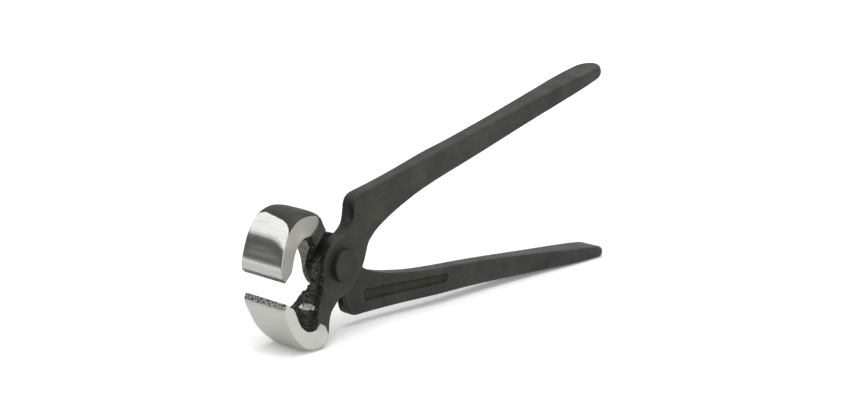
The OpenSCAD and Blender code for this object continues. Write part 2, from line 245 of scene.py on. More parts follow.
class PincersSizes(bpy.types.PropertyGroup):
    edge_w: length("Length of the cutting edge", 0.022, 0.034)
    jaw_reach: length("Pivot axis to cutting edge", 0.0345, 0.05)
    jaw_h: length("Height of the crown above the closing line", 0.0231, 0.032)
    nose_out: length("How far the nose stands out", 0.0016, 0.0024)
    land_h: length("Height of the ground land at the edge", 0.0019, 0.0026)
    nose_wall: length("Steel behind the nose", 0.0051, 0.0065)
    crown_wall: length("Steel under the crown", 0.0081, 0.0095)
    root_wall: length("Steel in the root of the jaw", 0.008, 0.0095)
    crown_bulge: length("How far the crown's middle stands out", 0.0011, 0.0016)
    jaw_edge_r: length("Rounding of the ground edges", 0.0005, 0.001)
    plate_t: length("Thickness of each half of the joint", 0.006, 0.008)
    plate_r: length("Radius of the joint plate", 0.0107, 0.012)
    rim_r: length("Rounding of the plate's rim", 0.001, 0.0016)
    shoulder_r: length("Radius of the shoulder at the flank", 0.0168, 0.019)
    shoulder_foot_r: length("Radius of the shoulder at the joint face", 0.0127, 0.015)
    flank_t: length("Steel in the flank at the shoulder", 0.0055, 0.008)
    face_play: length("Play between the joint faces", 0.00006, 0.0002)
    handle_reach: length("Pivot axis to the handle's end", 0.171, 0.24)
    handle_drop: length("Drop of the inner edge at the end", 0.0202, 0.03)
    inner_drop: length("Drop of the inner edge at the neck", 0.009, 0.011)
    heel_drop: length("Drop of the outer edge at the heel", 0.0238, 0.028)
    heel_x: length("Pivot axis to the heel wall", 0.009, 0.011)
    grip_depth: length("Depth of the handle in its middle", 0.01, 0.012)
    end_depth: length("Depth of the handle at its end", 0.0046, 0.006)
    neck_w: length("Width of the handle near the joint", 0.008, 0.011)
    end_w: length("Width of the handle at its end", 0.014, 0.018)
    end_r: length("Corner radius of the end from above", 0.0061, 0.0065)
    grip_edge_r: length("Rounding along the handle", 0.0014, 0.003)
    end_edge_r: length("Rounding along the handle at its tip", 0.0021, 0.003)
    end_thin: FloatProperty(name="Share of the depth lost on the inside of the tip",
                            default=0.7, min=0, max=0.8, subtype="FACTOR")
    panel_x: length("Start of the sunk panel", 0.018, 0.03)
    panel_len: length("Length of the sunk panel", 0.045, 0.06)
    panel_h: length("Height of the panel by the joint", 0.005, 0.006)
    panel_end_h: length("Height of the panel at its end", 0.0037, 0.004)
    panel_sink: length("Depth of the sunk panel", 0.0006, 0.001)
    lump: length("Height of the forging lumps inside the jaws", 0.0007, 0.001)
    dent: length("Depth of the dent in the heel wall", 0.0017, 0.002)
    shank_d: length("Diameter of the rivet's shank", 0.008, 0.01)
    head_d: length("Diameter of the rivet's head", 0.013, 0.016)
    head_t: length("Thickness of the rivet's head", 0.0026, 0.0036)
    tail_d: length("Diameter of the peened tail", 0.012, 0.015)
    tail_t: length("Thickness of the peened tail", 0.0016, 0.0024)
    head_chamfer: length("Rounding around head and tail", 0.0004, 0.0008)
    open_angle: FloatProperty(name="Angle between the levers as stored", unit="ROTATION",
                              default=math.radians(13.4), min=0, max=math.radians(40))


class PincersColours(bpy.types.PropertyGroup):
    paint: finish_colour("Black satin paint of the forgings", 43, 44, 35)
    # Also serves as the painted shade in the joint's room, the heel's dent and the sunk panel
    deep_paint_and_shade: finish_colour("Paint where it lies thick and dark", 19, 19, 13)
    # Also the light tone of the painted glints on the scale inside the jaws
    worn_paint_and_glints: finish_colour("Paint rubbed thin along the edges", 86, 87, 77)
    steel: finish_colour("Ground steel of the nose", 242, 242, 239)
    steel_dark: finish_colour("Dark lines in the ground steel", 150, 150, 146)
    # Darker than the nose's steel: partly a duller grind, partly painted shade on the sides
    flank: finish_colour("Ground steel of the upper jaw's sides", 124, 124, 118)
    # Rougher than the upper jaw's steel, and darker as painted shade of the lower jaw
    dull: finish_colour("Duller ground steel of the lower jaw", 180, 180, 174)
    # Rubbed steel of the rear lever's spot, darkened as painted shade; also the tone of the
    # painted glint specks on the scale
    rubbed: finish_colour("Steel rubbed bare inside the jaw", 112, 112, 105)
    scale: finish_colour("Rough black inside of the jaws", 12, 12, 10)
    rivet: finish_colour("Blackened steel of the rivet", 32, 33, 26)
    floor: finish_colour("Pale floor", 246, 246, 246)


# ---- the forging


def read(rows, at, column=1):
    """One column of a table, read off at a place along its first column."""
    table = np.array(rows)
    return np.interp(at, table[:, 0], table[:, column])


def shared(rows, at, *sizes):
    """Sum of the sizes, each times its own column of shares."""
    return sum(size * read(rows, at, column) for column, size in enumerate(sizes, 1))


def heel_end(s):
    return HEEL_END_SHARE * s.heel_x


def neck_start(s):
    return NECK_START_SHARE * s.plate_r


def along(s, x):
    return (x - heel_end(s)) / (s.handle_reach - heel_end(s))


def inner_at(s, x):
    """Drop of the handle's inner edge at x: shares of the drop read off along it."""
    run = (x - neck_start(s)) / (s.handle_reach - neck_start(s))
    return mix(NECK_DROP_SHARE * s.inner_drop, s.handle_drop, read(INNER, run))


def handle_sides(s, x, pinch=1.0):
    """The two side faces of the handle: its centre line less and plus half its width.
    The centre line leaves the plate in a parabola and runs on straight."""
    at = along(s, x)
    out = np.clip(at / SLANT_END, 0, 1)
    out = np.where(out < SLANT_SOFT, out**2 / SLANT_SOFT / 2, out - SLANT_SOFT / 2)
    centre = s.plate_t / 2 * (1 - out / (1 - SLANT_SOFT / 2))
    half = shared(WIDTH, at, s.plate_t, s.neck_w, s.end_w) / 2 - s.end_r * (1 - pinch)
    lip = PLATE_NEAR_SHARE * s.flank_t * np.clip(1 - x / heel_end(s), 0, 1)
    return centre - half - lip, centre + half


def jaw_rows(s):
    """Stations of the jaw: its back from the shares, and the mouth side one wall in."""
    b, y = np.array(JAW_BACK), np.array(JAW_SIDE)
    aim = np.radians(JAW_AIM)
    back = np.c_[-s.jaw_reach * b[:, 0] - s.nose_out * b[:, 1],
                 s.jaw_h * b[:, 2] + s.land_h * b[:, 3]]
    wall = np.array(JAW_WALL) @ [s.nose_wall, s.crown_wall, s.root_wall]
    mouth = back + wall[:, None] * np.c_[np.cos(aim), np.sin(aim)]
    mouth[0] = -s.jaw_reach, 0
    near = -mix(s.flank_t, s.edge_w / 2, y[:, :2])
    far = mix(s.plate_t, s.edge_w / 2, y[:, 2:])
    edge = np.full(len(b), s.jaw_edge_r)
    return np.c_[mouth, back, near, far, edge, s.crown_bulge * np.array(JAW_BULGE)]


def plate_rows(s):
    """Stations of the joint plate: spokes turned about the pivot axis."""
    p, a = np.array(PLATE), np.radians(PLATE_TURN)
    spokes = s.plate_r * p[:, :2, None] * np.stack([np.cos(a), np.sin(a)], -1)
    near, far = -s.flank_t * p[:, 2], mix(s.plate_t, s.edge_w / 2, p[:, 3])
    edge = np.full(len(p), s.rim_r)
    return np.c_[spokes.reshape(-1, 4), near, near, far, far, edge, 0 * edge]


def hip_rows(s):
    """Stations round the hip, from the plate's rim to the heel."""
    h = np.array(HIP)
    outer = np.c_[s.heel_x * h[:, 0], -mix(s.plate_r, s.heel_drop, h[:, 1])]
    inner = np.c_[s.plate_r * h[:, 2], -s.inner_drop * h[:, 3]]
    near_a, far_a = handle_sides(s, outer[:, 0])
    near_b, far_b = handle_sides(s, inner[:, 0])
    edge = np.full(len(h), s.rim_r)
    return np.c_[outer, inner, near_a, near_b, far_a, far_b, edge, 0 * edge]


def grip_rows(s, share, pinch):
    """Stations of the handle at shares of its length. They lean at the heel and stand
    upright further on, and pinch narrows them round the end."""
    bx = mix(neck_start(s), s.handle_reach, share)
    ax = bx - (neck_start(s) - heel_end(s)) * (1 - smooth(share / STRAIGHTEN_SHARE))
    heel_depth = s.heel_drop - inner_at(s, heel_end(s))
    depth = shared(DEPTH, along(s, ax), heel_depth, s.grip_depth, s.end_depth)
    near_a, far_a = handle_sides(s, ax, pinch)
    near_b, far_b = handle_sides(s, bx, pinch)
    edge = mix(s.rim_r, s.grip_edge_r, smooth(along(s, ax) / SOFTEN_SHARE))
    edge = mix(edge, s.end_edge_r, smooth((share - TIP_SHARE) / (1 - TIP_SHARE)))
    a, b = np.c_[ax, -inner_at(s, ax) - depth], np.c_[bx, -inner_at(s, bx)]
    lost = (b - a) * np.c_[s.end_thin * (1 - pinch) + 0 * ax]
    return np.c_[a, b - lost, near_a, near_b, far_a, far_b, edge, 0 * edge]


def spline(rows, at):
    """Catmull-Rom curve through the stations, read off at station numbers."""
    last = len(rows) - 1
    i = np.minimum(at.astype(int), last - 1)
    t = (at - i)[:, None]
    a, b, c, d = (rows[np.clip(i + step, 0, last)] for step in (-1, 0, 1, 2))
    return (2 * b + (c - a) * t + (2 * a - 5 * b + 4 * c - d) * t**2
            + (3 * b - a - 3 * c + d) * t**3) / 2


def bar_rows(s):
    """All rings of the bar with their station numbers: the spline's stations, then the
    rounded end, on which the width follows a quarter of a circle."""
    stations = np.vstack([jaw_rows(s), plate_rows(s), hip_rows(s),
                          grip_rows(s, np.array(GRIP_STOPS), 1.0)])
    runs = [np.arange(a, b, 1 / n) for a, b, n in zip(STOPS, STOPS[1:], RINGS)]
    at = np.concatenate([*runs, [GRIP_END]])
    turn = np.linspace(0, math.pi / 2, END_RINGS)
    reach = s.handle_reach - neck_start(s)
    end = grip_rows(s, 1 - s.end_r * (1 - np.sin(turn)) / reach, np.cos(turn))
    return np.vstack([spline(stations, at), end]), np.r_[at, GRIP_END + turn]


def ring_grid(s, rows):
    """Rings as places from mouth to back (q) and across (y). Each ring is a rounded
    four-sided shape: quarter circles at its corners and straight runs between them,
    and its back stands out in the middle by the bulge times one less t to the fourth."""
    run = np.linalg.norm(rows[:, 2:4] - rows[:, 0:2], axis=1)
    y0, y1, y2, y3 = np.clip(rows[:, 4:8], -s.edge_w / 2, s.edge_w / 2).T
    r = np.minimum(rows[:, 8], PLAIN_SHARE * np.minimum(run, np.minimum(y2 - y0, y3 - y1)))
    quarter = np.linspace(0, math.pi / 2, CORNER_POINTS)
    side = np.linspace(0, 1, SIDE_POINTS + 2)[1:-1]
    wide = np.linspace(0, 1, BACK_POINTS + 2)[1:-1]

    def corner(q, y, start):
        return (q[:, None] + r[:, None] * np.cos(start + quarter),
                y[:, None] + r[:, None] * np.sin(start + quarter))

    def straight(qa, ya, qb, yb, t):
        return mix(qa[:, None], qb[:, None], t), mix(ya[:, None], yb[:, None], t)

    parts = [
        corner(r, y0 + r, math.pi), straight(r, y0, run - r, y1, side),
        corner(run - r, y1 + r, 1.5 * math.pi), straight(run, y1 + r, run, y3 - r, wide),
        corner(run - r, y3 - r, 0), straight(run - r, y3, r, y2, side),
        corner(r, y2 - r, 0.5 * math.pi), straight(0 * r, y2 - r, 0 * r, y0 + r, wide),
    ]
    q = np.hstack([part[0] for part in parts])
    y = np.hstack([part[1] for part in parts])
    counts = [part[0].shape[1] for part in parts]
    zone = np.repeat(np.arange(PARTS), counts)
    middle, reach = (y1 + y3)[:, None] / 2, (y3 - y1)[:, None] / 2
    q += rows[:, 9:10] * (1 - np.clip((y - middle) / reach, -1, 1) ** 4) * (zone == BACK)
    # each half of a corner takes the finish of the face next to it
    number = np.concatenate([np.arange(count) for count in counts])
    in_corner, last = zone % 2 == 0, CORNER_POINTS - 1
    ridge = np.where(in_corner, np.sin(2 * quarter)[np.minimum(number, last)], 0)
    nearest = np.where(number >= CORNER_POINTS // 2, zone + 1, (zone - 1) % PARTS)
    return q, y, run[:, None], np.where(in_corner, nearest, zone), ridge


def recess_floor(s, x, z):
    """Lowest Y that the other lever's room leaves: the joint face inside the shoulder's
    foot, a cone from foot to shoulder, a steep wall beyond the flank, and the flat
    milled as far as the heel, which then runs out in a ramp."""
    face = s.face_play / 2
    foot = np.array(SHOULDER_LEAN_SHARES) * s.plate_r
    leaning = np.hypot(x - foot[0], z + foot[1])
    slope = s.flank_t / (s.shoulder_r - s.shoulder_foot_r)
    cone = face - np.maximum(leaning - s.shoulder_foot_r, 0) * slope
    cone = np.where(leaning < s.shoulder_r, cone, FAR_BELOW)
    deep = face - s.flank_t + s.face_play
    wall = deep - np.maximum(np.hypot(x, z) - s.shoulder_r, 0) * WALL_STEEP
    beyond = x - heel_end(s)
    fade = face * (1 - smooth(beyond / s.shank_d + 1))
    milled = np.where(beyond <= 0, fade, -beyond * RUN_OUT)
    milled = np.where((x >= 0) & (z < s.shank_d / 2), milled, FAR_BELOW)
    return np.maximum(np.maximum(cone, wall), milled)


def panel_inside(s, x, z):
    """How far inside the sunk panel a place lies: the distance from its nearest edge,
    or from the arc of its rounded corners, and less than nought outside."""
    drop = PANEL_DROP_SHARE * s.heel_drop
    half = mix(s.panel_h, s.panel_end_h, (x - s.panel_x) / s.panel_len) / 2
    corner = s.panel_sink * PANEL_CORNER
    from_end = np.maximum(corner - np.minimum(x - s.panel_x, s.panel_x + s.panel_len - x), 0)
    from_side = np.maximum(corner - half + np.abs(z + drop), 0)
    return corner - np.hypot(from_end, from_side)


def waves(x, y, z, pitch):
    """Mean of a few sines of the three places, each turned its own way by its seed."""
    lean = (np.cos(LUMP_SEEDS) * x + np.sin(LUMP_SEEDS * SEED_Y) * y
            + np.cos(LUMP_SEEDS * SEED_Z + SEED_SHIFT) * z)
    return np.sin(lean / pitch * 2 * math.pi + LUMP_SEEDS * SEED_PHASE).mean(0)


def lever_grid(s, side):
    """Points of one lever and its fields. The rings stand across the bar, caps draw in
    to a line at both ends, lumps and the heel's dent move the mouth side, and the
    joint's room and the panel lift the near side. The fields tell how far inside the
    ground steel, the rubbed or highlit bare spot or the scale each point lies, how near
    it is to an edge, and where painted shade lies: in the joint's room by the jaw, in
    the heel's dent, in the sunk panel and over the black part of the scale."""
    rows, at = bar_rows(s)
    caps = len(CAP_SHRINK)
    rows = np.vstack([rows[:1]] * caps + [rows] + [rows[-1:]] * caps)
    at = np.r_[np.zeros(caps), at, np.full(caps, at[-1])][:, None]
    pull = np.r_[CAP_SHRINK[::-1], np.ones(len(rows) - 2 * caps), CAP_SHRINK][:, None]
    q, y, run, zone, ridge = ring_grid(s, rows)
    low, high = y.min(1)[:, None], y.max(1)[:, None]
    w, depth = (y - low) / (high - low), np.clip(q / run, 0, 1)

    q = run * (0.5 + (q / run - 0.5) * pull)
    middle = (low + high) / 2
    y = middle + (y - middle) * (1 - (1 - pull) * run / (high - low) * CAP_LEAN)

    start, unit = rows[:, 0:2], (rows[:, 2:4] - rows[:, 0:2]) / run
    mouth = zone == MOUTH
    x, z = (start[:, i : i + 1] + unit[:, i : i + 1] * q for i in (0, 1))
    folds = 1 - LUMP_FOLD * np.abs(waves(z, x, y, LUMP_PITCH * LUMP_SHARE))
    lumps = waves(x, y, z, LUMP_PITCH) + LUMP_SHARE * folds
    rough = smooth((at - ROUGH_START) / ROUGH_START_FADE)
    rough = rough * smooth((ROUGH_END - at) / ROUGH_END_FADE)
    starts, ends = (read(RUBBED[side], at, column) for column in (1, 2))
    rubbed = np.minimum(w - starts, ends - w) * RUBBED_WIDTH
    rough = rough * (1 - RUBBED_FLAT * smooth(rubbed + 0.5))
    sides = smooth(w / ROUGH_SIDE) * smooth((1 - w) / ROUGH_SIDE)
    q = q + mouth * s.lump * rough * lumps * sides
    oval = (np.abs((at - DENT_AT) / DENT_LENGTH) ** 3
            + np.abs((w - DENT_ACROSS) / DENT_WIDTH) ** 3)
    dent = smooth(DENT_STEEP * (1 - oval ** (1 / 3)))
    ribs = (np.sin(at * RIB_TURN) * smooth((at - RIB_START) / RIB_START_FADE)
            * smooth((RIB_END - at) / RIB_END_FADE) * smooth((w - RIB_ACROSS) / RIB_ACROSS))
    q = q + mouth * s.dent * (dent + RIB_SHARE * ribs)

    x, z = (start[:, i : i + 1] + unit[:, i : i + 1] * q for i in (0, 1))
    room = (at > JAW_TOP) & (at < GRIP_START + 1)
    floor = recess_floor(s, x, z)
    lifted = np.where(room, np.maximum(y, floor), y)
    sunk = (zone == NEAR) & (at > HIP_START)
    within = np.maximum(panel_inside(s, x, z), 0)
    panel = lifted + np.minimum(s.panel_sink, within * PANEL_STEEP)
    within = within / s.panel_sink
    # Painted shade in the panel: half on its floor and full at the foot of its walls
    foot = mix(PANEL_FLOOR_SHADE, 1, smooth(2 - within)) * smooth(PANEL_STEEP * within)
    milled = lifted > y
    # Painted shade in the heel's dent and on the joint's room beside the jaw
    hollow_shade = np.where(mouth, dent, milled & (at < HIP_START))
    rim = smooth(1 - (lifted - y) / s.rim_r / RIM_FADE) * milled
    rim = rim * (x < heel_end(s))
    lifted = np.where(sunk, panel, lifted)

    def inside(limits, place):
        return (read(limits, place) - at) * STATION_LENGTH

    faces = GROUND[side].items()
    ground = np.select([zone == face for face, _ in faces],
                       [inside(rows, w if face == BACK else depth) for face, rows in faces])
    ground = np.where(lifted > y, -STATION_LENGTH, ground)
    rubbed = np.where(mouth, rubbed, -STATION_LENGTH)
    scaled = np.where(mouth, inside(SCALED, w), -STATION_LENGTH)
    # Painted shade over the scale, which takes away its glints
    pale, black = BLACKEST[side]
    soot = smooth((w - pale) / (black - pale))
    soot = np.maximum(soot, FLOOR_BLACK * smooth(BLACK_FLOOR - at))
    fields = {
        "ground": ground, "rubbed": rubbed, "scaled": scaled, "soot": soot,
        "sunk": np.maximum(sunk * foot, hollow_shade),
        "edge": np.maximum(ridge + 0 * at, rim), "land": (pull < 1) * (at < 1) + 0 * q,
        "flank": ((zone == NEAR) | (zone == FAR)) + 0 * q, "seam": ridge + 0 * q,
    }
    return np.stack([x, lifted, z], -1), fields


def placed(points, side):
    """Lever points from the drawing's place to the frame. The front lever is the same
    forging turned over about the tool's length."""
    half_open = bpy.context.scene.pincers_sizes.open_angle / 2
    if side == "front":
        points, half_open = points * [1, -1, -1], -half_open
    return turned(points, half_open - FLOOR_TILT) + PIVOT


def grid_mesh(name, points, fields):
    """Mesh over a grid that is closed round its second parameter, with a map of the
    distances along it and round its rings. Doubled points are merged, which closes
    the poles and the lifted walls."""
    rings, columns = points.shape[:2]
    number = np.arange(rings * columns).reshape(rings, columns)
    following = np.roll(number, -1, 1)
    quads = np.stack([number[:-1], number[1:], following[1:], following[:-1]], -1)
    mesh = bpy.data.meshes.new(name)
    mesh.from_pydata(points.reshape(-1, 3), [], quads.reshape(-1, 4))
    for field, values in fields.items():
        layer = mesh.attributes.new(field, "FLOAT", "POINT")
        layer.data.foreach_set("value", np.ascontiguousarray(values, np.float32).ravel())
    step = np.linalg.norm(np.diff(points, axis=0), axis=2).mean(1)
    run = np.r_[0, np.cumsum(step)][:, None] + 0 * points[:, :, 0]
    around = np.linalg.norm(np.roll(points, -1, 1) - points, axis=2).cumsum(1)
    around = np.c_[np.zeros(rings), around]
    u = np.stack([run[:-1], run[1:], run[1:], run[:-1]], -1)
    v = np.stack([around[:-1, :-1], around[1:, :-1], around[1:, 1:], around[:-1, 1:]], -1)
    layer = mesh.uv_layers.new(name=BAR_MAP)
    places = np.stack([u, v], -1) / MAP_LENGTH
    layer.uv.foreach_set("vector", places.astype(np.float32).ravel())
    shell = bmesh.new()
    shell.from_mesh(mesh)
    bmesh.ops.remove_doubles(shell, verts=shell.verts, dist=MERGE)
    bmesh.ops.dissolve_degenerate(shell, edges=shell.edges, dist=MERGE)
    shell.to_mesh(mesh)
    shell.free()
    mesh.shade_smooth()
    mesh.set_sharp_from_angle(angle=SHARP)
    return mesh


def piece(name, mesh, node, body, finish):
    """One finished piece in the frame: kept inside its solid's box, with its finish."""
    low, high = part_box(node)
    co = np.empty(len(mesh.vertices) * 3, np.float32)
    mesh.vertices.foreach_get("co", co)
    co = np.clip(co.reshape(-1, 3), low, high)
    mesh.vertices.foreach_set("co", co.astype(np.float32).ravel())
    mesh.update()
    mesh.materials.append(finish)
    thing = added(name, mesh)
    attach(thing, body)
    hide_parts(node)


def rounded_profile(s):
    """Rivet profile from the head's middle to the tail's middle, as radius and height:
    a flat head with a shallow turned dish and a quarter-round edge, the shank, and a
    slightly domed tail with a fuller edge."""
    quarter = np.linspace(0, math.pi / 2, ROUND_POINTS)
    head, tail, shank = s.head_d / 2, s.tail_d / 2, s.shank_d / 2
    r = s.head_chamfer * HEAD_ROUND
    top, bottom = s.plate_t + s.head_t, -s.plate_t - s.tail_t
    flat = np.linspace(0, head - r, FLAT_POINTS)[:-1]
    dish = s.head_chamfer * DISH_SHARE * (1 - smooth(flat / (head - r))) ** 2
    inside, fall = tail - 2 * r, s.tail_t * DOME_SHARE
    dome = np.linspace(inside, 0, FLAT_POINTS)
    return np.vstack([
        np.c_[flat, top - dish],
        np.c_[head - r + r * np.sin(quarter), top - r + r * np.cos(quarter)],
        [(head, s.plate_t), (shank, s.plate_t), (shank, -s.plate_t), (tail, -s.plate_t)],
        np.c_[inside + 2 * r * np.cos(quarter),
              bottom + fall + 2 * r * (1 - np.sin(quarter))],
        np.c_[dome, bottom + fall * (dome / inside) ** 2],
    ])


def rivet_grid(s):
    """The profile carried round the Y axis, with the head towards -Y. The edge field is
    how close a point is to the head's or the tail's rim."""
    profile = rounded_profile(s)
    angle = np.arange(RIVET_SIDES) / RIVET_SIDES * 2 * math.pi
    r, h = profile[:, 0:1], profile[:, 1:2]
    rim = smooth(1 - (s.head_d / 2 - r) / s.head_chamfer / 2) * (np.abs(h) > s.plate_t)
    points = np.stack([r * np.cos(angle), -h + 0 * angle, r * np.sin(angle)], -1)
    return points, {"edge": rim + 0 * angle}


# ---- finish numbers

# Noises: scale per metre of the object, detail and roughness
NOISES = {"wear": (260.0, 4.0, 0.65), "wander": (900.0, 3.0, 0.5),
          "lumps": (1000.0, 3.0, 0.6), "glint_specks": (1500.0, 2.0, 0.6),
          "speckle": (2000.0, 0.0, 0.5), "floor": (60.0, 4.0, 0.5), "weave": (400.0, 3.0, 0.5)}
# Values between which each pattern goes from its first tone to its second, and some
# with both tones
BANDS = {"tint": (0.3, 0.7), "wear": (0.25, 0.95), "lines": (0.35, 0.7),
         "scratch": (0.66, 0.74), "glints": (0.36, 0.64), "glint_specks": (0.62, 0.7),
         "rubbed": (0.35, 0.65), "speckle": (0.47, 0.53), "floor": (0.3, 0.7, 0.985, 1.0),
         "weave": (0.3, 0.7, 0.9, 1.0), "screen": (0.09, -0.02, 0.075, 0.65)}
# Steel of each lever's nose, of its sides and of its bare spot, and the nose's roughness.
# Tones below the nose's bright steel are partly painted shade, and the front lever's bare spot
# is a painted highlight
STEELS = {"front": ("dull", "dull", "steel", 0.38),
          "rear": ("steel", "flank", "rubbed", 0.15)}
# Softness of each boundary between finishes, and how ragged it is
BOUNDARIES = {"ground": (0.12, 0.3), "rubbed": (0.3, 2.0), "scaled": (0.8, 1.0)}
# Paint grain: scale in grains, detail and roughness of its parts, shares of the second
# part in height and tint, and the grain's size on the levers and on the rivet
GRAINS = {"peel": (1.0, 4.0, 0.6), "dents": (0.14, 2.0, 0.5), "blots": (0.06, 4.0, 0.6)}
DENTS_SHARE, PEEL_SHARE, LEVER_GRAIN, RIVET_GRAIN = 0.45, 0.35, 0.0007, 0.0005
# Wear of the edges, the painted shade and the roughness that sunk places add, and the paint's
# gloss
WEAR_AMOUNT, SUNK_SHADE, SUNK_ROUGH, PAINT_SPECULAR = 0.2, 0.5, 0.4, 0.25
# Grinding lines: pitch and detail, length in pitches, share of the coarse lines, weight
# of the scratches, and tone and relief on the nose and on the side faces
LINES = {"fine": (0.00012, 3.0), "coarse": (0.0005, 2.0), "scratch": (0.001, 1.0)}
LINE_STRETCH, LINE_ROUGH, COARSE_SHARE, SCRATCH_DARK = 30.0, 0.6, 0.4, 0.5
LINE_DARK, LINE_RELIEF = (0.25, 0.16), (0.09, 0.06)
# Roughness from dark to light tint of the paints, from dull to bright scale, and of steel
PAINT_ROUGH, RIVET_ROUGH, SCALE_ROUGH = (0.56, 0.46), (0.54, 0.44), (0.6, 0.2)
SIDE_ROUGH, COARSE_ROUGH = 0.4, 0.45
# Glow of the floor: from and to which distance it rises, and from and to what
FLOOR_LIFT, FLOOR_ROUGH, FLOOR_SPECULAR = (0.12, 0.7, 0.12, 1.0), 0.7, 0.1
# Relief: strength and depth in metres of the bumps, and the weight of the scale's lumps
LEVER_BUMP, RIVET_BUMP, SCALE_RELIEF = (0.5, 0.00012), (0.4, 0.0001), 6.0


# ---- shader helpers


class Net:
    """Short hand for filling a tree of shader nodes."""

    def __init__(self, tree):
        self.tree = tree

    def add(self, kind, values=(), **settings):
        node = self.tree.nodes.new("ShaderNode" + kind)
        for name, value in settings.items():
            setattr(node, name, value)
        self.fill(node, dict(values))
        return node

    def fill(self, node, values):
        """Link or set each named input. Colours are set without any transparency."""
        for name, value in values.items():
            socket = node.inputs[name]
            if isinstance(value, bpy.types.NodeSocket):
                self.tree.links.new(value, socket)
            else:
                socket.default_value = (*value, 1) if socket.type == "RGBA" else value

    def sum(self, operation, *values):
        values = dict(enumerate(values))
        return self.add("Math", values, operation=operation).outputs[0]

    def level(self, factor, a, b):
        """A number between a and b."""
        return self.add("Mix", {0: factor, 2: a, 3: b}, data_type="FLOAT").outputs[0]

    def mix(self, factor, a, b, blend="MIX"):
        """A colour between a and b."""
        return self.add("Mix", {0: factor, 6: a, 7: b}, data_type="RGBA",
                        blend_type=blend).outputs[2]

    def range(self, value, low, high, to_low=0.0, to_high=1.0):
        values = dict(enumerate((value, low, high, to_low, to_high)))
        node = self.add("MapRange", values, interpolation_type="SMOOTHSTEP")
        return node.outputs[0]

    def noise(self, vector, scale, detail, rough):
        values = {"Vector": vector, "Scale": scale, "Detail": detail, "Roughness": rough}
        return self.add("TexNoise", values).outputs["Fac"]

    def pattern(self, vector, name):
        """A noise of the tables, as a pattern of two tones."""
        return self.range(self.noise(vector, *NOISES[name]), *BANDS[name])

    def effect(self, name, values):
        return self.add("Group", node_tree=effect(name), values=values).outputs

    def field(self, name):
        return self.add("Attribute", attribute_name=name).outputs["Fac"]


def forged_grain(net, given):
    """Skin of a painted forging: fine orange peel over soft dents, with a tint that
    goes a little lighter and darker from place to place."""
    peel, dents, blots = (
        net.noise(given["Place"], net.sum("DIVIDE", scale, given["Grain"]), *look)
        for scale, *look in GRAINS.values())
    tint = net.level(PEEL_SHARE, blots, peel)
    return {"Height": net.level(DENTS_SHARE, peel, dents),
            "Tint": net.range(tint, *BANDS["tint"])}


def edge_wear(net, given):
    """Paint rubbed thin where a surface turns: the edge field broken up by noise."""
    patchy = net.noise(given["Place"], *NOISES["wear"])
    strength = net.sum("MULTIPLY", given["Edge"], given["Amount"])
    reach = net.sum("ADD", strength, net.sum("SUBTRACT", patchy, 0.5))
    return {"Wear": net.range(reach, *BANDS["wear"])}


def grinding(net, given):
    """Belt-ground steel: noise stretched along the lines, coarse and fine, with a few
    deeper scratches."""

    def lines(pitch, detail):
        stretch = net.add("CombineXYZ", {
            0: net.sum("DIVIDE", given["Across"], pitch),
            1: net.sum("DIVIDE", given["Along"], pitch * LINE_STRETCH),
        })
        return net.noise(stretch.outputs[0], 1.0, detail, LINE_ROUGH)

    fine, coarse, scratch = (lines(*line) for line in LINES.values())
    height = net.level(COARSE_SHARE, fine, coarse)
    scratch = net.sum("MULTIPLY", net.range(scratch, *BANDS["scratch"]), SCRATCH_DARK)
    dark = net.sum("ADD", net.range(height, *BANDS["lines"]), scratch)
    return {"Height": height, "Dark": dark}


# What fills each effect, and its inputs. One without a number is a place
EFFECTS = {
    "Forged grain": (forged_grain, {"Place": None, "Grain": LEVER_GRAIN}),
    "Edge wear": (edge_wear, {"Place": None, "Edge": 0.0, "Amount": WEAR_AMOUNT}),
    "Grinding": (grinding, {"Across": 0.0, "Along": 0.0}),
}


def effect(name):
    """The node group of an effect, filled once."""
    if name in bpy.data.node_groups:
        return bpy.data.node_groups[name]
    group = bpy.data.node_groups.new(name, "ShaderNodeTree")
    fill, inputs = EFFECTS[name]
    for label, value in inputs.items():
        kind = "NodeSocketVector" if value is None else "NodeSocketFloat"
        socket = group.interface.new_socket(label, in_out="INPUT", socket_type=kind)
        if value is not None:
            socket.default_value = value
    net = Net(group)
    made = fill(net, group.nodes.new("NodeGroupInput").outputs)
    for label in made:
        group.interface.new_socket(label, in_out="OUTPUT", socket_type="NodeSocketFloat")
    net.fill(group.nodes.new("NodeGroupOutput"), made)
    return group


def surface(name):
    """An empty material with its principled shader, its output and a place to start."""
    material = bpy.data.materials.new(name)
    material.use_nodes = True
    material.node_tree.nodes.clear()
    net = Net(material.node_tree)
    skin = net.add("BsdfPrincipled")
    net.add("OutputMaterial", {"Surface": skin.outputs[0]})
    return material, net, skin, net.add("TexCoord").outputs["Object"]


def dress(net, skin, tone, rough, height, strength, depth, metal=0.0):
    """Colour, roughness and relief of a forged piece."""
    relief = {"Height": height, "Strength": strength, "Distance": depth}
    net.fill(skin, {
        "Base Color": tone, "Roughness": rough, "Metallic": metal,
        "Specular IOR Level": PAINT_SPECULAR,
        "Normal": net.add("Bump", relief).outputs[0],
    })


def painted(net, place, size):
    """Grain and edge wear of a painted piece, at the given size of its grain."""
    grain = net.effect("Forged grain", {"Place": place, "Grain": size})
    wear = net.effect("Edge wear", {"Place": place, "Edge": net.field("edge")})
    return grain, wear["Wear"]


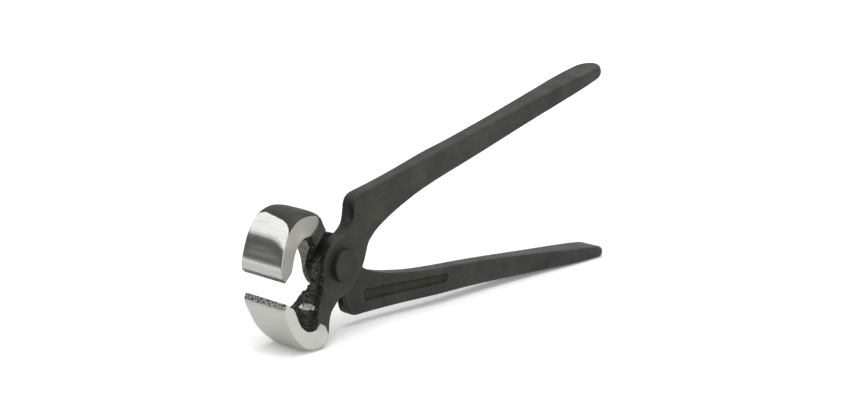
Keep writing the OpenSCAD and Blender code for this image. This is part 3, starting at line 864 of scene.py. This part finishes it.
def lever_finish(name, tones, nose, side, bright, polish):
    """Black satin paint over the forging, darker as painted shade in sunk places, bare
    belt-ground steel on the jaw, a coarse speckled land, and scale inside the jaw with
    painted glints, painted shade and a bare spot: rubbed steel on the rear lever, a
    painted highlight on the front one."""
    material, net, skin, place = surface(name)
    x, y, z = net.add("SeparateXYZ", {0: place}).outputs
    along_bar = net.add("UVMap", uv_map=BAR_MAP).outputs[0]
    run = net.add("SeparateXYZ", {0: along_bar}).outputs[0]
    run = net.sum("MULTIPLY", run, MAP_LENGTH)
    flank, sunk, land = (net.field(name) for name in ("flank", "sunk", "land"))
    grain, wear = painted(net, place, LEVER_GRAIN)
    lines = net.effect("Grinding", {
        "Across": net.level(flank, run, x), "Along": net.level(flank, y, z),
    })
    wander = net.sum("SUBTRACT", net.noise(place, *NOISES["wander"]), 0.5)

    def mask(field):
        soft, ragged = BOUNDARIES[field]
        edge = net.sum("MULTIPLY_ADD", wander, ragged, net.field(field))
        return net.range(edge, -soft, soft)

    ground, rubbed, scaled = mask("ground"), mask("rubbed"), mask("scaled")
    tint = grain["Tint"]
    paint = net.mix(tint, tones.deep_paint_and_shade, tones.paint)
    paint = net.mix(wear, paint, tones.worn_paint_and_glints)
    # Painted shade darkens the paint in sunk places
    deep = net.sum("MULTIPLY", sunk, SUNK_SHADE)
    paint = net.mix(deep, paint, tones.deep_paint_and_shade)
    lumps = net.noise(place, *NOISES["lumps"])
    # Painted glints: the scale goes lighter on the tops of its lumps, except under its painted
    # shade, and shows bright specks
    clear = net.sum("SUBTRACT", 1.0, net.field("soot"))
    glints = net.sum("MULTIPLY", net.range(lumps, *BANDS["glints"]), clear)
    scale = net.mix(glints, tones.scale, tones.worn_paint_and_glints)
    scale = net.mix(net.pattern(place, "glint_specks"), scale, tones.rubbed)
    # The bare spot: rubbed steel on the rear lever, a painted highlight of a flat facet on the
    # front one
    patchy = net.range(lumps, *BANDS["rubbed"])
    rub = net.mix(patchy, tones.worn_paint_and_glints, bright)
    faint = net.sum("MULTIPLY", lines["Dark"], net.level(flank, *LINE_DARK))
    # Painted shade on the ground steel's rounded corners: they take the darker tone of the
    # sides, which keeps them from lighting up
    seam = net.sum("MAXIMUM", flank, net.field("seam"))
    steel = net.mix(seam, nose, side)
    steel = net.mix(faint, steel, tones.steel_dark)
    speckle = net.pattern(place, "speckle")
    coarse = net.mix(speckle, tones.paint, side)
    steel = net.mix(land, steel, coarse)
    steel = net.mix(rubbed, steel, rub)

    bare = net.sum("MAXIMUM", ground, rubbed)
    tone = net.mix(bare, net.mix(scaled, paint, scale), steel)
    satin = net.level(tint, *PAINT_ROUGH)
    satin = net.sum("MULTIPLY_ADD", sunk, SUNK_ROUGH, satin)
    dull = net.level(scaled, satin, net.level(glints, *SCALE_ROUGH))
    polish = net.level(seam, polish, SIDE_ROUGH)
    polish = net.level(net.sum("MAXIMUM", land, rubbed), polish, COARSE_ROUGH)
    rough_height = net.sum("MULTIPLY", lumps, SCALE_RELIEF)
    paint_height = net.level(scaled, grain["Height"], rough_height)
    relief = net.level(flank, *LINE_RELIEF)
    steel_height = net.sum("MULTIPLY", lines["Height"], relief)
    steel_height = net.level(land, steel_height, speckle)
    steel_height = net.level(rubbed, steel_height, lumps)
    height = net.level(bare, paint_height, steel_height)
    dress(net, skin, tone, net.level(bare, dull, polish), height, *LEVER_BUMP, bare)
    return material


def rivet_finish(name, tones):
    """Blackened rivet: paint grain on the faces, edges rubbed a little lighter."""
    material, net, skin, place = surface(name)
    grain, wear = painted(net, place, RIVET_GRAIN)
    black = net.mix(grain["Tint"], tones.deep_paint_and_shade, tones.rivet)
    tone = net.mix(wear, black, tones.worn_paint_and_glints)
    rough = net.level(grain["Tint"], *RIVET_ROUGH)
    dress(net, skin, tone, rough, grain["Height"], *RIVET_BUMP)
    return material


def floor_finish(name, tones):
    """Pale floor. The camera and reflections see it a little lifted, so that it runs
    into the white behind it and still keeps the shadow."""
    material, net, skin, place = surface(name)
    path = net.add("LightPath").outputs
    pale = net.mix(1.0, tones.floor, net.pattern(place, "floor"), "MULTIPLY")
    seen_by = net.sum("MAXIMUM", path["Is Camera Ray"], path["Is Glossy Ray"])
    away = net.add("VectorMath", {0: place}, operation="LENGTH").outputs["Value"]
    lift = net.range(away, *FLOOR_LIFT)
    net.fill(skin, {
        "Base Color": pale, "Roughness": FLOOR_ROUGH, "Specular IOR Level": FLOOR_SPECULAR,
        "Emission Color": (1, 1, 1), "Emission Strength": net.sum("MULTIPLY", seen_by, lift),
    })
    return material


# ---- stage

CAMERA_YAW, CAMERA_PITCH, CAMERA_ROLL, CAMERA_AWAY = -47.5, 17.65, -2.4, 0.6
IMAGE_SIZE, PIVOT_PIXEL, FOCAL_PIXELS, SENSOR = (854, 410), (332.4, 262.0), 1590, 36
FLOOR_SIZE, SKY_STRENGTH, CLIP_NEAR, CLIP_FAR = 6.0, 0.35, 0.01, 50
# Soft lamps: name, place, width, height, watts
LAMPS = (
    ("lamp_above", (-0.1, -0.1, 1.1), 1.2, 1.2, 12.5),
    ("lamp_left", (-0.9, -0.5, 0.5), 0.8, 0.8, 4.0),
    ("lamp_front", (0.5, -1.1, 0.5), 0.9, 0.6, 4.0),
)
LAMP_AIM, CORNERS = (-0.03, 0, 0.04), ((-1, -1), (1, -1), (1, 1), (-1, 1))
# Screens beside the tool that only its polished faces see: place, width, height, and
# how far each is laid down, as a share of upright
SCREENS = (
    ("screen_floor", (-0.255, 0.191, 0.003), 0.9, 0.38, 1.0),
    ("screen_low", (-0.48, 0.36, 0.091), 0.9, 0.178, 0.0),
    ("screen_rail", (-0.48, 0.36, 0.2), 0.9, 0.008, 0.0),
    ("screen_top_rail", (-0.48, 0.36, 0.22), 0.9, 0.006, 0.0),
)


def make_camera():
    """Camera with its yaw and pitch, then its roll, and the whole leaned as the tool
    leans on the floor. It is shifted so that the pivot lies on its pixel."""
    a, e, r = (math.radians(v) for v in (CAMERA_YAW, CAMERA_PITCH, CAMERA_ROLL))
    back = np.array([math.sin(a) * math.cos(e), -math.cos(a) * math.cos(e), math.sin(e)])
    right = np.array([math.cos(a), math.sin(a), 0])
    up = np.cross(back, right)
    right, up = math.cos(r) * right + math.sin(r) * up, math.cos(r) * up - math.sin(r) * right
    right, up, back = turned(np.stack([right, up, back]), -FLOOR_TILT)
    aside = (np.array(PIVOT_PIXEL) - np.array(IMAGE_SIZE) / 2) / FOCAL_PIXELS * CAMERA_AWAY
    data = bpy.data.cameras.new("camera")
    data.sensor_width = SENSOR
    data.lens = FOCAL_PIXELS / IMAGE_SIZE[0] * SENSOR
    data.clip_start, data.clip_end = CLIP_NEAR, CLIP_FAR
    camera = added("camera", data)
    where = PIVOT + back * CAMERA_AWAY - right * aside[0] + up * aside[1]
    camera.matrix_world = Matrix([*np.c_[right, up, back, where], (0, 0, 0, 1)])
    bpy.context.scene.camera = camera


def make_lamp(name, where, width, height, watts):
    data = bpy.data.lights.new(name, "AREA")
    data.shape, data.size, data.size_y, data.energy = "RECTANGLE", width, height, watts
    lamp = added(name, data)
    lamp.location = where
    aim = Vector(LAMP_AIM) - Vector(where)
    lamp.rotation_euler = aim.to_track_quat("-Z", "Y").to_euler()
    lamp.visible_camera = False


def make_sheet(name, corners, finish):
    """A flat sheet of the stage."""
    mesh = bpy.data.meshes.new(name)
    mesh.from_pydata(corners, [], [(0, 1, 2, 3)])
    mesh.materials.append(finish)
    sheet = added(name, mesh)
    return sheet


def make_screen(name, where, width, height, laid, finish):
    """A dark screen that faces the jaws, upright or laid on the floor."""
    away = np.array([where[0], where[1], 0]) / math.hypot(where[0], where[1])
    across = np.array([-away[1], away[0], 0]) * width / 2
    turn, middle = laid * math.pi / 2, np.array(where)
    up = (np.array([0, 0, math.cos(turn)]) + away * math.sin(turn)) * height / 2
    corners = [middle + a * across + b * up for a, b in CORNERS]
    screen = make_sheet(name, corners, finish)
    screen.visible_camera = screen.visible_diffuse = screen.visible_shadow = False


def screen_finish(name):
    """Glowing cloth of the screens: painted light, emitted dark at the top and paler towards
    the floor.
    """
    material, net, skin, place = surface(name)
    height = net.add("SeparateXYZ", {0: place}).outputs[2]
    weave = net.pattern(place, "weave")
    glow = net.sum("MULTIPLY", weave, net.range(height, *BANDS["screen"]))
    net.fill(skin, {"Base Color": (0, 0, 0), "Roughness": 1.0, "Emission Color": glow,
                    "Emission Strength": 1.0})
    return material


def make_sky():
    """Even soft light, which the camera and reflections see as plain white."""
    world = bpy.data.worlds.new("sky")
    bpy.context.scene.world = world
    world.use_nodes = True
    world.node_tree.nodes.clear()
    net = Net(world.node_tree)
    path = net.add("LightPath").outputs
    white = net.sum("MAXIMUM", path["Is Camera Ray"], path["Is Glossy Ray"])
    white = net.sum("MAXIMUM", white, path["Is Transmission Ray"])
    strength = net.level(white, SKY_STRENGTH, 1.0)
    sky = net.add("Background", {"Color": (1, 1, 1), "Strength": strength})
    net.add("OutputWorld", {"Surface": sky.outputs[0]})


# ---- operators


class PincersLevers(bpy.types.Operator):
    """Build both forged levers with their paint and ground jaws"""

    bl_idname = "pincers.levers"
    bl_label = "Levers"

    def execute(self, context):
        sizes, tones = context.scene.pincers_sizes, context.scene.pincers_colours
        for side, (*steels, polish) in STEELS.items():
            points, fields = lever_grid(sizes, side)
            mesh = grid_mesh(side + "_forging", placed(points, side), fields)
            steels = [getattr(tones, steel) for steel in steels]
            finish = lever_finish(side + "_lever_finish", tones, *steels, polish)
            piece(side + "_forging", mesh, side + "_lever", side, finish)
        return {"FINISHED"}


class PincersRivet(bpy.types.Operator):
    """Build the headed rivet that the levers turn on"""

    bl_idname = "pincers.rivet"
    bl_label = "Rivet"

    def execute(self, context):
        sizes, tones = context.scene.pincers_sizes, context.scene.pincers_colours
        points, fields = rivet_grid(sizes)
        points = turned(points, -sizes.open_angle / 2 - FLOOR_TILT) + PIVOT
        mesh = grid_mesh("turned_rivet", points, fields)
        finish = rivet_finish("rivet_finish", tones)
        piece("turned_rivet", mesh, "pivot_rivet", "front", finish)
        return {"FINISHED"}


class PincersStage(bpy.types.Operator):
    """Build the pale floor, the soft light and the camera"""

    bl_idname = "pincers.stage"
    bl_label = "Stage"

    def execute(self, context):
        corners = [(a * FLOOR_SIZE / 2, b * FLOOR_SIZE / 2, 0) for a, b in CORNERS]
        finish = floor_finish("floor_finish", context.scene.pincers_colours)
        make_sheet("floor", corners, finish)
        for lamp in LAMPS:
            make_lamp(*lamp)
        screen_glow = screen_finish("glowing_screen_cloth")
        for screen in SCREENS:
            make_screen(*screen, screen_glow)
        make_sky()
        make_camera()
        context.scene.view_settings.view_transform = "Standard"
        return {"FINISHED"}


class PincersPanel(bpy.types.Panel):
    """Steps that build the pincers"""

    bl_idname = "VIEW3D_PT_pincers"
    bl_label = "Pincers"
    bl_space_type = "VIEW_3D"
    bl_region_type = "UI"
    bl_category = "Pincers"

    def draw(self, context):
        for step in STEPS:
            self.layout.operator(step.bl_idname)
        for group in (context.scene.pincers_sizes, context.scene.pincers_colours):
            for name in group.bl_rna.properties.keys():
                if name not in ("rna_type", "name"):
                    self.layout.prop(group, name)


STEPS = (PincersLevers, PincersRivet, PincersStage)
CLASSES = (PincersSizes, PincersColours, *STEPS, PincersPanel)


def register():
    for kind in CLASSES:
        bpy.utils.register_class(kind)
    bpy.types.Scene.pincers_sizes = PointerProperty(type=PincersSizes)
    bpy.types.Scene.pincers_colours = PointerProperty(type=PincersColours)


def unregister():
    del bpy.types.Scene.pincers_sizes, bpy.types.Scene.pincers_colours
    for kind in reversed(CLASSES):
        bpy.utils.unregister_class(kind)


def main():
    register()
    bpy.ops.pincers.levers()
    bpy.ops.pincers.rivet()
    bpy.ops.pincers.stage()


if __name__ == "__main__":
    main()
